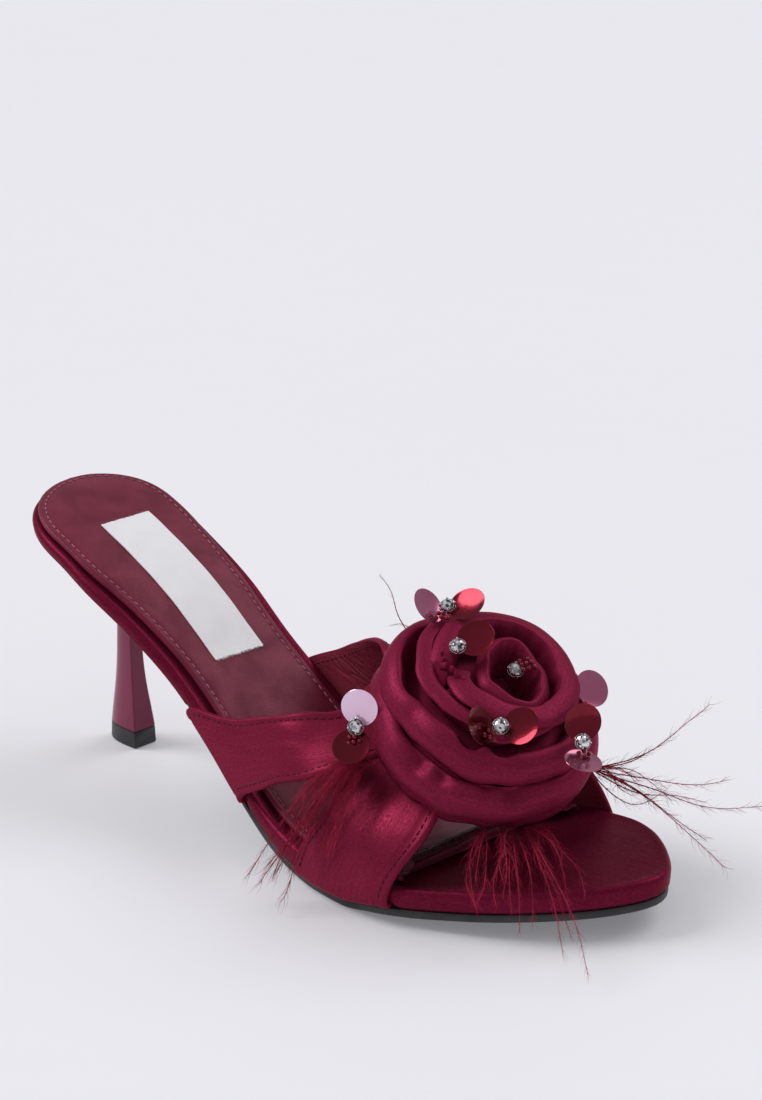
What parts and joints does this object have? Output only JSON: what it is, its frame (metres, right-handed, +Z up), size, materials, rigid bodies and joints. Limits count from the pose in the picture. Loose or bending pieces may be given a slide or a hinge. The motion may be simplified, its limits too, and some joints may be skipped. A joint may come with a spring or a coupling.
{
  "type": "high heel shoe",
  "caption": "Right-foot high-heeled mule with crossed satin straps under a satin rose, sequins and feathers, padded footbed, flared faceted heel and black sole",
  "frame": {"origin": "under the middle of the bounding box, on the floor plane", "axes": "+X from heel to toe, +Y towards the inner side of the foot (its left), +Z up"},
  "size_m": [0.244, 0.1132, 0.0856],
  "materials": {
    "satin": "burgundy satin over a board and as folded straps",
    "satin_rose": "burgundy satin, folded and gathered",
    "sock_leather": "soft burgundy coated leather, semi gloss",
    "sole_rubber": "black moulded rubber, matt",
    "heel_lacquer": "burgundy lacquered plastic",
    "label_cloth": "bare white woven cloth",
    "sequin_red": "red mirror-like foil plastic",
    "sequin_pale": "pale pink foil plastic",
    "stone_clear": "clear cut stone",
    "bead_red": "deep red glass beads",
    "feather": "dyed feather barbs"
  },
  "bodies": {
    "root": {"beads_back": "bead_red", "beads_bud": "bead_red", "beads_front": "bead_red", "beads_near": "bead_red", "beads_toe": "bead_red", "feathers_back": "feather", "feathers_front": "feather", "feathers_inner": "feather", "feathers_near": "feather", "footbed": "satin", "heel": "heel_lacquer", "heel_tip": "sole_rubber", "label": "label_cloth", "outsole": "sole_rubber", "rose": "satin_rose", "sequin_back_a": "sequin_pale", "sequin_back_b": "sequin_red", "sequin_crown_a": "sequin_red", "sequin_front_a": "sequin_red", "sequin_front_b": "sequin_red", "sequin_inner_b": "sequin_pale", "sequin_near_a": "sequin_pale", "sequin_near_b": "sequin_red", "sequin_toe_a": "sequin_red", "sequin_toe_b": "sequin_pale", "sock": "sock_leather", "stone_back": "stone_clear", "stone_bud": "stone_clear", "stone_crown": "stone_clear", "stone_front": "stone_clear", "stone_near": "stone_clear", "stone_toe": "stone_clear", "straps": "satin"}
  },
  "joints": []
}
